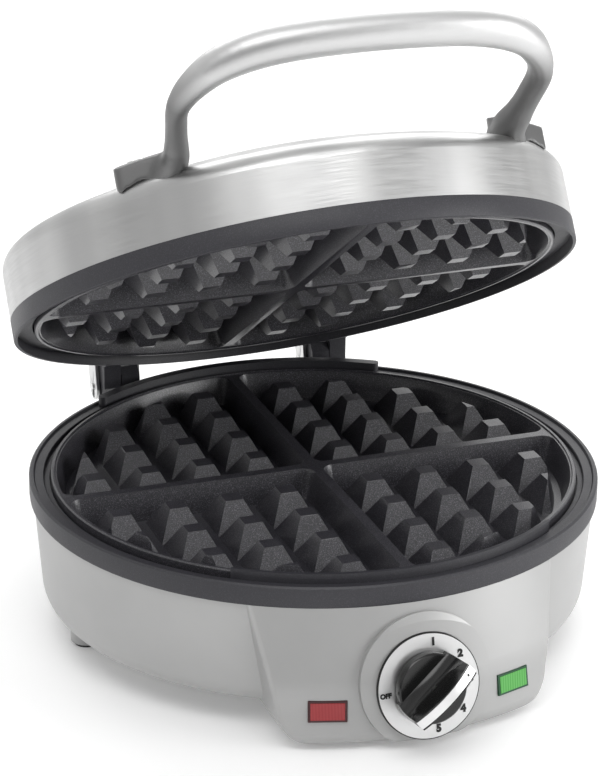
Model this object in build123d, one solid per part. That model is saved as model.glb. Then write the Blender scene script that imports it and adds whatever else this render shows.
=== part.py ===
from build123d import *
import math
import os

# Round belgian waffle maker with a hinged lid, an arched lift handle and a browning dial.
# Millimetres, +Z up.  The origin lies on the worktop, on the centre line of the waffle plates.
# The front, with the control pod, faces -Y.  The lid is modelled closed and then swung open.

os.makedirs("parts", exist_ok=True)

# Base: heights above the worktop and radii from the centre line
RIM_TOP = 68.0
RIM_HEIGHT = 9.0
RIM_RADIUS = 122.5
BEAD_WIDTH = 1.9
RIM_STEP = 1.2
BOWL_TOP_RADIUS = 121.0
BOWL_FOOT_RADIUS = 117.3
BOWL_BOTTOM = 12.0
BOWL_CORNER = 9.0
HOUSING_WALL = 2.5
COVER_RADIUS = 90.0
COVER_THICKNESS = 1.6

# Control pod
POD_TOP_HALF = 66.0
POD_FOOT_HALF = 56.0
POD_BOTTOM = 2.0
POD_KNEE = 27.0
POD_KNEE_BULGE = 8.5
POD_TOE_BULGE = 11.0
POD_BACK = 84.0
POD_CORNER = 15.0
POD_EDGE = 3.0

# Waffle plates
PLATE_GAP = 1.8
PLATE_RADIUS = 113.2
PLATE_BODY_RADIUS = 110.3
LIP_RISE = 0.8
LIP_WIDTH = 2.0
POCKET_DEPTH = 13.2
POCKET_DRAFT = 15.0
POCKET_CORNER = 5.0
PLATE_FLOOR = 4.0
PIN_PITCH = 24.5
PIN_FIRST = 19.6
PIN_TOP_X = 7.7
PIN_TOP_Y = 7.5
PIN_FOOT_X = 19.9
PIN_FOOT_Y = 23.6
PIN_SINK = 1.2
PIN_REACH = 105.0
PIN_RING = 103.5
DIVIDER_TOP = 4.6
DIVIDER_SINK = 0.7
ELEMENT_RING = 77.0
ELEMENT_TUBE = 6.6
ELEMENT_RIB = 3.0
BOSS_RING = 48.0
BOSS_DIAMETER = 10.0

# Lid
LID_GAP = 0.5
LID_RIM_HEIGHT = 8.9
BAND_HEIGHT = 20.0
LID_HEIGHT = 56.4
DOME_RADIUS = 362.0
SHEET = 1.2
LID_OPEN = 32.8

# Hinge
HINGE_Y = 129.0
HINGE_DROP = 4.2
KNUCKLE_IN = 42.6
KNUCKLE_SEAM = 51.1
KNUCKLE_OUT = 59.4
KNUCKLE_RADIUS = 6.4
CHEEK = 1.6
CHEEK_RADIUS = 6.0
PIN_DIAMETER = 3.2
HINGE_FLOAT = 3.8

# Handle
HANDLE_TILT = 25.0
HANDLE_Y = -84.0
HANDLE_Z = 36.0
FOOT_TURN = 25.0
FOOT_WIDTH = 23.0
FOOT_THICKNESS = 6.5
GASKET = 1.0

# Dial, knob and lamps
DIAL_Z = 26.0
DIAL_TILT = 12.0
DIAL_DIAMETER = 43.0
BEZEL_FOOT = 56.0
BEZEL_SHIFT = 2.0
BEZEL_TOP = 46.5
BEZEL_RISE = 2.6
DIAL_THICKNESS = 1.4
KNOB_DIAMETER = 29.0
GRIP_LENGTH = 31.0
KNOB_SKIRT = 4.6
KNOB_HEIGHT = 21.0
KNOB_POINTS_AT = 50.0
STRIP_WIDTH = 3.8
SHAFT_DIAMETER = 6.0
LAMP_LENGTH = 15.6
LAMP_HEIGHT = 8.8
LAMP_X = 40.0
LAMP_Z = 18.3

# Feet
LEG_RING = 103.0
LEG_DIAMETER = 14.0
LEG_ANGLES = (0, 60, 120, 180)
PAD_DIAMETER = 11.0
PAD_HEIGHT = 1.6

# Clearances
FIT = 0.15
RUN = 0.08
SWING = 0.6

# Derived levels
RIM_BOTTOM = RIM_TOP - RIM_HEIGHT
LIP_TOP = RIM_TOP + LIP_RISE
PLATE_SEAT = RIM_BOTTOM + 4.0
POCKET_FLOOR = LIP_TOP - POCKET_DEPTH
PLATE_BOTTOM = POCKET_FLOOR - PLATE_FLOOR
MIRROR_Z = LIP_TOP + PLATE_GAP / 2
HINGE_Z = RIM_TOP - HINGE_DROP
REFLECTOR_FLOOR = PLATE_BOTTOM - 9.0
LID_BOTTOM = RIM_TOP + LID_GAP
LID_RIM_TOP = LID_BOTTOM + LID_RIM_HEIGHT
BAND_TOP = LID_RIM_TOP + BAND_HEIGHT
LID_APEX = LID_BOTTOM + LID_HEIGHT
SEAT_RADIUS = PLATE_RADIUS + 0.6


def save(shape, name):
    export_step(shape, f"parts/{name}.step")


def lathe(points, angle=360):
    face = make_face(Polyline(*points, close=True))
    return revolve(Plane.XZ * face, Axis.Z, angle)


def side_prism(points, x0, x1):
    """Closed outline in Y and Z, drawn out along X from x0 to x1."""
    face = make_face(Polyline(*points, close=True))
    return extrude(Plane.YZ.offset(x0) * face, x1 - x0)


def disc(radius, z0, z1, x=0.0, y=0.0):
    return Pos(x, y, z0) * extrude(Circle(radius), z1 - z0)


def block(x0, x1, y0, y1, z0, z1):
    return Pos((x0 + x1) / 2, (y0 + y1) / 2, (z0 + z1) / 2) * Box(x1 - x0, y1 - y0, z1 - z0)


def mirrored(shape):
    return mirror(shape, Plane.YZ)


def flipped(shape):
    """The lid's copy of a base piece, on the other side of the plane between the plates."""
    return mirror(shape, Plane.XY.offset(MIRROR_Z))


def solids(*shapes):
    return Compound(children=[s for shape in shapes for s in shape.solids()])


def polar(radius, angle):
    return radius * math.cos(math.radians(angle)), radius * math.sin(math.radians(angle))


# Housing: a tapered bowl with the control pod in front
def bowl(inset, z0, z1):
    slope = (BOWL_TOP_RADIUS - BOWL_FOOT_RADIUS) / (RIM_BOTTOM - BOWL_BOTTOM)
    foot = BOWL_FOOT_RADIUS - inset + slope * (z0 - BOWL_BOTTOM)
    top = BOWL_FOOT_RADIUS - inset + slope * (z1 - BOWL_BOTTOM)
    wall = FilletPolyline((0, z0), (foot, z0), (top, z1), radius=BOWL_CORNER - inset / 2)
    return revolve(Plane.XZ * make_face([*wall.edges(), Line((top, z1), (0, z1)), Line((0, z1), (0, z0))]), Axis.Z)


def pod_radius(z):
    if z > POD_KNEE:
        return RIM_RADIUS + POD_KNEE_BULGE * (RIM_BOTTOM - z) / (RIM_BOTTOM - POD_KNEE)
    return RIM_RADIUS + POD_KNEE_BULGE + (POD_TOE_BULGE - POD_KNEE_BULGE) * (POD_KNEE - z) / (POD_KNEE - POD_BOTTOM)


def pod(inset, z0, z1):
    face = FilletPolyline(
        (0, z0), (pod_radius(z0) - inset, z0), (pod_radius(POD_KNEE) - inset, POD_KNEE),
        (pod_radius(z1) - inset, z1), radius=[6.0, 40.0])
    edges = [*face.edges(), Line((pod_radius(z1) - inset, z1), (0, z1)), Line((0, z1), (0, z0))]
    bulge = revolve(Plane.XZ * make_face(edges), Axis.Z)
    slope = (POD_TOP_HALF - POD_FOOT_HALF) / (RIM_BOTTOM - POD_BOTTOM)
    foot = POD_FOOT_HALF - inset + slope * (z0 - POD_BOTTOM)
    top = POD_FOOT_HALF - inset + slope * (z1 - POD_BOTTOM)
    front = FilletPolyline((-top, z1), (-foot, z0), (foot, z0), (top, z1), radius=POD_CORNER - inset)
    slab = make_face([*front.edges(), Line((top, z1), (-top, z1))])
    prism = extrude(Plane.XZ.offset(POD_BACK + inset) * slab, 80)
    return bulge & prism


DIAL = Plane(
    origin=(0, -pod_radius(DIAL_Z), DIAL_Z), x_dir=(1, 0, 0),
    z_dir=(0, -math.cos(math.radians(DIAL_TILT)), math.sin(math.radians(DIAL_TILT))))


def lamp_plane(side):
    turn = math.asin(LAMP_X / pod_radius(LAMP_Z))
    lean = math.radians(9.0)
    normal = (side * math.sin(turn) * math.cos(lean), -math.cos(turn) * math.cos(lean), math.sin(lean))
    across = (math.cos(turn), side * math.sin(turn), 0)
    seat = pod_radius(LAMP_Z)
    return Plane(origin=(side * LAMP_X, -seat * math.cos(turn), LAMP_Z), x_dir=across, z_dir=normal)


pod_outer = pod(0, POD_BOTTOM, RIM_BOTTOM)
pod_sides = pod_outer.edges().filter_by(
    lambda e: e.center().Y < -104 and abs(e.center().X) > 50 and e.bounding_box().size.Z > 20)
pod_outer = fillet(pod_sides, POD_EDGE)
outer = bowl(0, BOWL_BOTTOM, RIM_BOTTOM) + pod_outer
bezel = DIAL * Pos(0, BEZEL_SHIFT, -4) * extrude(Circle(BEZEL_FOOT / 2), 4)
bezel += DIAL * loft([Pos(0, BEZEL_SHIFT) * Circle(BEZEL_FOOT / 2), Pos(0, 0, BEZEL_RISE) * Circle(BEZEL_TOP / 2)])
bezel = bezel & pod(-BEZEL_RISE, POD_BOTTOM, RIM_BOTTOM)
legs = [disc(LEG_DIAMETER / 2, PAD_HEIGHT, BOWL_BOTTOM + 6, *polar(LEG_RING, a)) for a in LEG_ANGLES]
hollow = bowl(HOUSING_WALL, BOWL_BOTTOM + HOUSING_WALL, RIM_BOTTOM)
hollow += pod(HOUSING_WALL, POD_BOTTOM + HOUSING_WALL, RIM_BOTTOM) & block(-90, 90, -160, -60, 0, 70)
housing = outer + legs - hollow + bezel
housing -= disc(COVER_RADIUS - 4, 0, BOWL_BOTTOM + 4)
housing -= disc(COVER_RADIUS + FIT, 0, BOWL_BOTTOM + COVER_THICKNESS)
housing -= DIAL * Pos(0, 0, BEZEL_RISE - DIAL_THICKNESS - 0.2) * extrude(Circle(DIAL_DIAMETER / 2 + 0.7), 10)
housing -= DIAL * Pos(0, 0, -20) * extrude(Circle(SHAFT_DIAMETER / 2 + 1.5), 40)
for side in (-1, 1):
    hole = Rectangle(LAMP_LENGTH + 2 * FIT, LAMP_HEIGHT + 2 * FIT)
    housing -= lamp_plane(side) * Pos(0, 0, -12) * extrude(hole, 20)

# Rubber pads: a round foot with a stem pushed up into the leg or the pod
STEM_DIAMETER = 4.0
STEM_HEIGHT = 5.0
POD_PADS = ((-38.0, -108.0), (38.0, -108.0))
leg_pads = []
for angle in LEG_ANGLES:
    x, y = polar(LEG_RING, angle)
    leg_pads.append(disc(PAD_DIAMETER / 2, 0, PAD_HEIGHT, x, y) + disc(STEM_DIAMETER / 2, 0, PAD_HEIGHT + STEM_HEIGHT, x, y))
    housing -= disc(STEM_DIAMETER / 2 + RUN, 0, PAD_HEIGHT + STEM_HEIGHT + 0.5, x, y)
pod_pads = []
for x, y in POD_PADS:
    pod_pads.append(disc(PAD_DIAMETER / 2, 0, POD_BOTTOM, x, y) + disc(STEM_DIAMETER / 2, 0, POD_BOTTOM + 2, x, y))
    housing -= disc(STEM_DIAMETER / 2 + RUN, 0, POD_BOTTOM + 5, x, y)

# Rear cord gland: the moulded bush where the cord enters
GLAND_Z = 31.0
GLAND_DIAMETER = 13.0
gland_plane = Plane(origin=(0, BOWL_TOP_RADIUS - 3.0, GLAND_Z), x_dir=(1, 0, 0), z_dir=(0, 1, 0))
gland = gland_plane * Pos(0, 0, -4) * extrude(Circle(GLAND_DIAMETER / 2 - 2), 8)
gland += gland_plane * Pos(0, 0, 1.2) * extrude(Circle(GLAND_DIAMETER / 2), 4.5)
gland -= gland_plane * Pos(0, 0, -10) * extrude(Circle(3.6), 30)
housing -= gland_plane * Pos(0, 0, -10) * extrude(Circle(GLAND_DIAMETER / 2 - 2 + RUN), 14)
gland -= bowl(-0.02, BOWL_BOTTOM, RIM_BOTTOM) - gland_plane * Pos(0, 0, -10) * extrude(Circle(GLAND_DIAMETER / 2 - 2), 14)

# Base rim with its bead, the groove round the plate, front tab, rear wall and two hinge knuckles
GROOVE_RADIUS = 116.1
GROOVE_DEPTH = 1.8
rim = lathe([
    (PLATE_BODY_RADIUS + 0.5, RIM_BOTTOM), (RIM_RADIUS - 0.1, RIM_BOTTOM), (RIM_RADIUS, RIM_BOTTOM + 1),
    (RIM_RADIUS, RIM_TOP - 0.8), (RIM_RADIUS - 0.8, RIM_TOP), (RIM_RADIUS - BEAD_WIDTH, RIM_TOP),
    (RIM_RADIUS - BEAD_WIDTH - 0.6, RIM_TOP - RIM_STEP), (GROOVE_RADIUS + 0.4, RIM_TOP - RIM_STEP),
    (GROOVE_RADIUS, RIM_TOP - RIM_STEP - 0.4), (GROOVE_RADIUS, RIM_TOP - RIM_STEP - GROOVE_DEPTH),
    (SEAT_RADIUS, RIM_TOP - RIM_STEP - GROOVE_DEPTH), (SEAT_RADIUS, PLATE_SEAT),
    (PLATE_BODY_RADIUS + 0.5, PLATE_SEAT)])
TAB_RADIUS = 114.9
TAB_WIDTH = 1.8
TAB_ARC = 73.0
TAB_RISE = 2.8
WALL_RADIUS = 117.6
WALL_WIDTH = 4.4
WALL_ARC = 68.0
WALL_RISE = 3.5
tab = SlotArc(CenterArc((0, 0), TAB_RADIUS, -90 - TAB_ARC / 2, TAB_ARC), TAB_WIDTH)
tab_foot = RIM_STEP + GROOVE_DEPTH + 1
rim += Pos(0, 0, RIM_TOP - tab_foot) * extrude(tab, TAB_RISE + tab_foot)
wall = SlotArc(CenterArc((0, 0), WALL_RADIUS, 90 - WALL_ARC / 2, WALL_ARC), WALL_WIDTH)
rim += Pos(0, 0, RIM_TOP - tab_foot) * extrude(wall, WALL_RISE + tab_foot)
KNUCKLE_FRONT = HINGE_Y - 11.4
KNUCKLE_TOP = HINGE_Z + 11.5
SEAM_GAP = 0.2


def hinge_barrel(x0, x1):
    return Pos(x0, HINGE_Y, HINGE_Z) * Rot(0, 90, 0) * extrude(Circle(KNUCKLE_RADIUS), x1 - x0)


knuckle = side_prism([
    (100, RIM_BOTTOM), (108, RIM_BOTTOM - 9), (HINGE_Y - 2, HINGE_Z - KNUCKLE_RADIUS + 0.4),
    (HINGE_Y + KNUCKLE_RADIUS - 0.2, HINGE_Z), (HINGE_Y + 4, KNUCKLE_TOP), (HINGE_Y - 8, KNUCKLE_TOP),
    (KNUCKLE_FRONT, KNUCKLE_TOP - 3.5), (KNUCKLE_FRONT, RIM_TOP - 0.8), (100, RIM_TOP - 0.8)],
    KNUCKLE_IN, KNUCKLE_SEAM - SEAM_GAP)
knuckle += hinge_barrel(KNUCKLE_IN, KNUCKLE_SEAM - SEAM_GAP)
knuckle -= disc(BOWL_TOP_RADIUS + FIT, 0, RIM_BOTTOM)
knuckle -= disc(RIM_RADIUS - 2, 0, 100)
rim += [knuckle, mirrored(knuckle)]
rim -= Pos(-100, HINGE_Y, HINGE_Z) * Rot(0, 90, 0) * extrude(Circle(PIN_DIAMETER / 2 + RUN), 200)


# Waffle plate: pocket, cross dividers and the grid of tapered pins
def pin_places():
    spots = []
    for i in range(4):
        for j in range(4):
            x, y = PIN_FIRST + i * PIN_PITCH, PIN_FIRST + j * PIN_PITCH
            if math.hypot(x, y) < PIN_REACH:
                spots += [(sx * x, sy * y) for sx in (-1, 1) for sy in (-1, 1)]
    return spots


def quarter_pocket():
    """One quarter of the pocket: rounded corners, and walls that draw in towards the floor."""
    edge = PLATE_RADIUS - LIP_WIDTH - 0.5
    side = DIVIDER_TOP / 2
    quarter = Circle(edge) & Pos(side + edge / 2, side + edge / 2) * Rectangle(edge, edge)
    quarter = fillet(quarter.vertices(), POCKET_CORNER)
    hole = mirror(extrude(quarter, POCKET_DEPTH - DIVIDER_SINK, taper=POCKET_DRAFT), Plane.XY)
    return Pos(0, 0, LIP_TOP - DIVIDER_SINK) * hole


def waffle_plate():
    pocket_top = PLATE_RADIUS - LIP_WIDTH
    body = lathe([
        (0, LIP_TOP - DIVIDER_SINK), (pocket_top, LIP_TOP - DIVIDER_SINK), (pocket_top + 0.4, LIP_TOP),
        (PLATE_RADIUS - 0.6, LIP_TOP), (PLATE_RADIUS, LIP_TOP - 0.6),
        (PLATE_RADIUS, PLATE_SEAT), (PLATE_BODY_RADIUS, PLATE_SEAT), (PLATE_BODY_RADIUS, PLATE_BOTTOM + 4),
        (PLATE_BODY_RADIUS - 4, PLATE_BOTTOM), (0, PLATE_BOTTOM)])
    pocket = quarter_pocket()
    for turn in (0, 90, 180, 270):
        body -= Rot(0, 0, turn) * pocket
    height = POCKET_DEPTH - PIN_SINK
    stud = loft([Rectangle(PIN_FOOT_X, PIN_FOOT_Y), Pos(0, 0, height) * Rectangle(PIN_TOP_X, PIN_TOP_Y)])
    cone = Pos(0, 0, POCKET_FLOOR - 1) * extrude(Circle(PIN_RING + 1), height + 2, taper=POCKET_DRAFT)
    studs = [Pos(x, y, POCKET_FLOOR) * stud & cone for x, y in pin_places()]
    body = body + studs
    for radius in (ELEMENT_RING - ELEMENT_TUBE / 2 - 0.4 - ELEMENT_RIB, ELEMENT_RING + ELEMENT_TUBE / 2 + 0.4):
        body += lathe([(radius, PLATE_BOTTOM + 0.5), (radius, PLATE_BOTTOM - 4), (radius + ELEMENT_RIB, PLATE_BOTTOM - 4),
                       (radius + ELEMENT_RIB, PLATE_BOTTOM + 0.5)])
    for angle in (30, 150, 270):
        body += disc(BOSS_DIAMETER / 2, REFLECTOR_FLOOR + SHEET, PLATE_BOTTOM + 1, *polar(BOSS_RING, angle))
        body -= disc(1.7, REFLECTOR_FLOOR - 5, PLATE_BOTTOM - 1, *polar(BOSS_RING, angle))
    return body


# Heating element: an open ring of sheathed tube whose two ends turn down
def element():
    z = PLATE_BOTTOM - ELEMENT_TUBE / 2 - 0.2
    tube = Plane.XZ * (Pos(ELEMENT_RING, z) * Circle(ELEMENT_TUBE / 2))
    ring = Rot(0, 0, -82) * revolve(tube, Axis.Z, 344)
    for angle in (-82, -98):
        x, y = polar(ELEMENT_RING, angle)
        ring += Pos(x, y, z) * Sphere(ELEMENT_TUBE / 2)
        ring += disc(ELEMENT_TUBE / 2, REFLECTOR_FLOOR - 8, z, x, y)
        ring += disc(1.6, REFLECTOR_FLOOR - 15, z, x, y)
    return ring


# Reflector: a pressed dish that hangs under the rim and keeps the heat at the plate
def reflector():
    t = 0.8
    wall = PLATE_BODY_RADIUS + 1.2
    dish = lathe([
        (0, REFLECTOR_FLOOR), (wall - 5, REFLECTOR_FLOOR), (wall, REFLECTOR_FLOOR + 7), (wall, RIM_BOTTOM - t),
        (wall + 5, RIM_BOTTOM - t), (wall + 5, RIM_BOTTOM), (wall - t, RIM_BOTTOM),
        (wall - t, REFLECTOR_FLOOR + 7.3), (wall - 5.4, REFLECTOR_FLOOR + SHEET), (0, REFLECTOR_FLOOR + SHEET)])
    for angle in (-82, -98):
        dish -= disc(ELEMENT_TUBE / 2 + 1, 0, 60, *polar(ELEMENT_RING, angle))
    for angle in (30, 150, 270):
        dish -= disc(2.1, 0, 60, *polar(BOSS_RING, angle))
    return dish


def plate_screws():
    out = []
    for angle in (30, 150, 270):
        x, y = polar(BOSS_RING, angle)
        out.append(disc(4, REFLECTOR_FLOOR - 2.4, REFLECTOR_FLOOR, x, y) + disc(1.6, REFLECTOR_FLOOR - 1, PLATE_BOTTOM - 2, x, y))
    return out


lower_plate = waffle_plate()
lower_element = element()
lower_reflector = reflector()

# Bottom cover and its screws
cover = disc(COVER_RADIUS, BOWL_BOTTOM, BOWL_BOTTOM + COVER_THICKNESS)
COVER_SCREW_RING = COVER_RADIUS - 2.0
cover_screws = []

# Lid cover: straight band, rounded shoulder and shallow dome
DOME_Z = LID_APEX - DOME_RADIUS
rise = BAND_TOP - DOME_Z
SHOULDER = (DOME_RADIUS ** 2 - RIM_RADIUS ** 2 - rise ** 2) / (2 * (DOME_RADIUS - RIM_RADIUS))
lean = math.atan2(RIM_RADIUS - SHOULDER, rise)


def lid_skin(inset, low):
    def dome(a):
        return (DOME_RADIUS - inset) * math.sin(a), DOME_Z + (DOME_RADIUS - inset) * math.cos(a)
    radius = RIM_RADIUS - inset
    bend = (math.pi / 2 + lean) / 2
    mid = (RIM_RADIUS - SHOULDER + (SHOULDER - inset) * math.sin(bend), BAND_TOP + (SHOULDER - inset) * math.cos(bend))
    edges = [
        Line((0, low), (radius, low)), Line((radius, low), (radius, BAND_TOP)),
        ThreePointArc((radius, BAND_TOP), mid, dome(lean)), ThreePointArc(dome(lean), dome(lean / 2), dome(0)),
        Line(dome(0), (0, low))]
    return revolve(Plane.XZ * make_face(edges), Axis.Z)


lid_solid = lid_skin(0, LID_RIM_TOP)
lid_cover = lid_solid - lid_skin(SHEET, LID_RIM_TOP)

# Lid rim: thin skirt below, ledge for the upper plate, spigot inside the cover, hinge blocks behind
seat = 2 * MIRROR_Z - PLATE_SEAT
spigot = RIM_RADIUS - SHEET - FIT
recess = RIM_TOP + WALL_RISE + 1.5
SADDLE_LOW = RIM_TOP + WALL_RISE + 2.0
SKIRT = 1.7
lid_rim = lathe([
    (PLATE_BODY_RADIUS + 0.5, seat), (SEAT_RADIUS, seat), (SEAT_RADIUS, recess), (RIM_RADIUS - SKIRT, recess),
    (RIM_RADIUS - SKIRT + 0.1, LID_BOTTOM), (RIM_RADIUS - 0.4, LID_BOTTOM), (RIM_RADIUS, LID_BOTTOM + 0.4),
    (RIM_RADIUS, LID_RIM_TOP), (spigot, LID_RIM_TOP), (spigot, seat + 4), (PLATE_BODY_RADIUS + 0.5, seat + 4)])
hinge_block = side_prism([
    (104, LID_BOTTOM + 0.4), (HINGE_Y - 16.8, LID_BOTTOM + 0.4), (HINGE_Y - 10.6, HINGE_Z - 4.0),
    (HINGE_Y - 2, HINGE_Z - KNUCKLE_RADIUS + 0.2), (HINGE_Y + KNUCKLE_RADIUS - 0.2, HINGE_Z),
    (HINGE_Y + 2, SADDLE_LOW - 0.3), (104, SADDLE_LOW - 0.3)],
    KNUCKLE_SEAM + SEAM_GAP, KNUCKLE_OUT)
hinge_block += hinge_barrel(KNUCKLE_SEAM + SEAM_GAP, KNUCKLE_OUT)
hinge_block -= disc(RIM_RADIUS - SKIRT / 2, 0, 100)
lid_rim += [hinge_block, mirrored(hinge_block)]

# Lid hinge brackets: a saddle on the band and two cheeks reaching back to the pin
SADDLE_HIGH = SADDLE_LOW + 13.0
cheek_outline = [
    (100, SADDLE_LOW), (HINGE_Y - 10, SADDLE_LOW), (HINGE_Y - CHEEK_RADIUS, HINGE_Z),
    (HINGE_Y + CHEEK_RADIUS, HINGE_Z), (HINGE_Y + 3, HINGE_Z + 9), (HINGE_Y - 9, SADDLE_HIGH), (100, SADDLE_HIGH)]
round_end = Pos(0, HINGE_Y, HINGE_Z) * Rot(0, 90, 0)
slot_turn = Rot(LID_OPEN, 0, 0)
bracket = Part()
for x0 in (KNUCKLE_IN - SWING - CHEEK, KNUCKLE_OUT + SWING):
    cheek = side_prism(cheek_outline, x0, x0 + CHEEK)
    cheek += Pos(x0, HINGE_Y, HINGE_Z) * Rot(0, 90, 0) * extrude(Circle(CHEEK_RADIUS), CHEEK)
    bracket += cheek
x0, x1 = KNUCKLE_IN - SWING - CHEEK, KNUCKLE_OUT + SWING + CHEEK
bracket += (disc(RIM_RADIUS + CHEEK, SADDLE_LOW, SADDLE_HIGH) & block(x0, x1, 90, 130, SADDLE_LOW, SADDLE_HIGH))
bracket -= disc(RIM_RADIUS + 0.02, 0, 200)
slot = Pos(x0 - 1, HINGE_Y, HINGE_Z) * slot_turn * (
    Rot(0, 90, 0) * extrude(Circle(PIN_DIAMETER / 2 + RUN), 30)
    + Pos(0, 0, -HINGE_FLOAT) * Rot(0, 90, 0) * extrude(Circle(PIN_DIAMETER / 2 + RUN), 30)
    + block(0, 30, -PIN_DIAMETER / 2 - RUN, PIN_DIAMETER / 2 + RUN, -HINGE_FLOAT, 0))
bracket -= slot
lid_rim -= [slot, mirrored(slot)]
PIN_PROUD = 0.7
hinge_pin = Pos(x0 - PIN_PROUD, HINGE_Y, HINGE_Z) * Rot(0, 90, 0) * extrude(
    Circle(PIN_DIAMETER / 2), x1 - x0 + 2 * PIN_PROUD)

# Bracket screws: two in each saddle, square to the band
bracket_screws = []
for side in (-1, 1):
    for x in (KNUCKLE_IN + 2.0, KNUCKLE_OUT - 4.6):
        turn = math.asin(side * x / RIM_RADIUS)
        plane = Plane(
            origin=(side * x, RIM_RADIUS * math.cos(turn), SADDLE_LOW + 9.5), x_dir=(math.cos(turn), -math.sin(turn), 0),
            z_dir=(math.sin(turn), math.cos(turn), 0))
        head = plane * Pos(0, 0, CHEEK + 0.05) * extrude(Circle(2.6), 1.6)
        shank = plane * Pos(0, 0, -4) * extrude(Circle(1.4), 4.5 + CHEEK)
        bracket_screws.append(head + shank)
        hole = plane * Pos(0, 0, -6) * extrude(Circle(1.4 + RUN), 9)
        lid_cover -= hole
        lid_rim -= hole
        if side > 0:
            bracket -= hole

# Handle: a cast arch on two flanged feet that follow the shoulder of the lid
tilt = math.radians(HANDLE_TILT)
UP = (0, -math.cos(tilt), math.sin(tilt))
HANDLE_RIDE = (
    (0.0, 78.0, 0.0, 14.0, 12.0, 0.0, 0.0), (30.0, 76.8, 5.0, 14.0, 12.0, 0.0, 0.0),
    (50.0, 73.0, 18.0, 13.5, 12.5, 3.0, 0.0), (64.5, 65.0, 42.0, 12.0, 13.0, 8.0, 0.0),
    (73.2, 53.0, 69.0, 10.0, 14.0, 14.0, 0.0), (75.6, 40.0, 89.0, 8.5, 15.0, 20.0, 0.0),
    (74.6, 27.0, 99.0, 8.0, 16.0, 24.0, 1.5), (72.2, 14.0, 101.0, 8.0, 17.0, 25.0, 4.0),
    (70.0, 2.0, 100.0, 8.5, 18.0, 25.0, 8.0), (68.6, -8.0, 97.0, 9.0, 18.0, 25.0, 10.0))


def handle_section(x, s, fall, thick, deep, twist, lift):
    """Rounded section square to the arch: thick in its plane, deep across it, turned by twist."""
    down = math.radians(fall)
    along = Vector(math.cos(down), -math.sin(down) * UP[1], -math.sin(down) * UP[2])
    origin = Vector(x, HANDLE_Y + s * UP[1], RIM_TOP + HANDLE_Z + s * UP[2])
    origin += Vector(0, lift * UP[2], -lift * UP[1])
    across = Vector(math.sin(down), math.cos(down) * UP[1], math.cos(down) * UP[2])
    plane = Plane(origin=origin, x_dir=across, z_dir=along)
    return plane * Rot(0, 0, twist) * RectangleRounded(thick, deep, min(thick, deep) * 0.42)


left_ride = [
    (-x, s, -fall, thick, deep, -twist, lift) for x, s, fall, thick, deep, twist, lift in HANDLE_RIDE[:0:-1]]
arch = loft([handle_section(*row) for row in left_ride + list(HANDLE_RIDE)])
FOOT_X = 68.0
FOOT_Y = -90.0
FOOT_IN = -2.0
FOOT_OUT = 28.5
foot_plane = Plane(origin=(FOOT_X, FOOT_Y, RIM_TOP), x_dir=(
    math.cos(math.radians(FOOT_TURN)), math.sin(math.radians(FOOT_TURN)), 0), z_dir=(0, 0, 1))
foot_centre = Pos((FOOT_IN + FOOT_OUT) / 2, FOOT_WIDTH / 2)
foot = foot_plane * foot_centre * extrude(RectangleRounded(FOOT_OUT - FOOT_IN, FOOT_WIDTH, 3.5), 60)
thick_skin = lid_skin(-GASKET - FOOT_THICKNESS, LID_RIM_TOP + 12)
gasket_skin = lid_skin(-GASKET, LID_RIM_TOP - 5)
flange = foot & thick_skin
handle = arch + flange + mirrored(flange) - gasket_skin
gasket = foot_plane * foot_centre * extrude(RectangleRounded(FOOT_OUT - FOOT_IN + 1, FOOT_WIDTH + 1, 4), 60)
gasket = gasket & gasket_skin
gasket = gasket - lid_solid - block(0, 200, -200, 0, 0, LID_RIM_TOP + 10)

# Handle screws, one through each foot, with a washer and nut inside the lid
SCREW_ALONG = 19.0
cx = FOOT_X + SCREW_ALONG * math.cos(math.radians(FOOT_TURN)) - FOOT_WIDTH / 2 * math.sin(math.radians(FOOT_TURN))
cy = FOOT_Y + SCREW_ALONG * math.sin(math.radians(FOOT_TURN)) + FOOT_WIDTH / 2 * math.cos(math.radians(FOOT_TURN))
reach = math.hypot(cx, cy)


def shell_height(radius, inset):
    """Height of the dome's skin, moved inwards by inset, at a radius from the centre line."""
    centre = RIM_RADIUS - SHOULDER
    limit = centre + (SHOULDER - inset) * math.sin(lean)
    if radius > limit:
        return BAND_TOP + math.sqrt((SHOULDER - inset) ** 2 - (radius - centre) ** 2)
    return DOME_Z + math.sqrt((DOME_RADIUS - inset) ** 2 - radius ** 2)


slope = math.asin(reach / DOME_RADIUS)
toward = (cx / reach, cy / reach)
screw_axis = (toward[0] * math.sin(slope), toward[1] * math.sin(slope), math.cos(slope))
screw_plane = Plane(origin=(cx, cy, shell_height(reach, 0)), x_dir=(-toward[1], toward[0], 0), z_dir=screw_axis)
FLANGE_TOP = GASKET + FOOT_THICKNESS
HEAD_DIAMETER = 7.6
HEAD_SINK = 0.8
screw_hole = screw_plane * Pos(0, 0, -12) * extrude(Circle(2.0 + FIT), 40)
head_pocket = screw_plane * Pos(0, 0, FLANGE_TOP - HEAD_SINK) * extrude(Circle(HEAD_DIAMETER / 2 + FIT), 14)
handle_screw = screw_plane * Pos(0, 0, -9) * extrude(Circle(2.0), 9 + FLANGE_TOP)
button = extrude(Circle(HEAD_DIAMETER / 2), 1.6)
button = fillet(button.faces().sort_by(Axis.Z)[-1].edges(), 0.9)
handle_screw += screw_plane * Pos(0, 0, FLANGE_TOP - HEAD_SINK) * button
handle_nut = screw_plane * Pos(0, 0, -SHEET - 4.2) * extrude(RegularPolygon(4.0, 6), 3.4)
handle_nut += screw_plane * Pos(0, 0, -SHEET - 0.9) * extrude(Circle(5.0), 0.8)
handle_nut -= screw_plane * Pos(0, 0, -12) * extrude(Circle(2.0 + RUN), 20)
for cut in (screw_hole, mirrored(screw_hole), head_pocket, mirrored(head_pocket)):
    handle -= cut
lid_cover -= screw_hole
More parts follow.
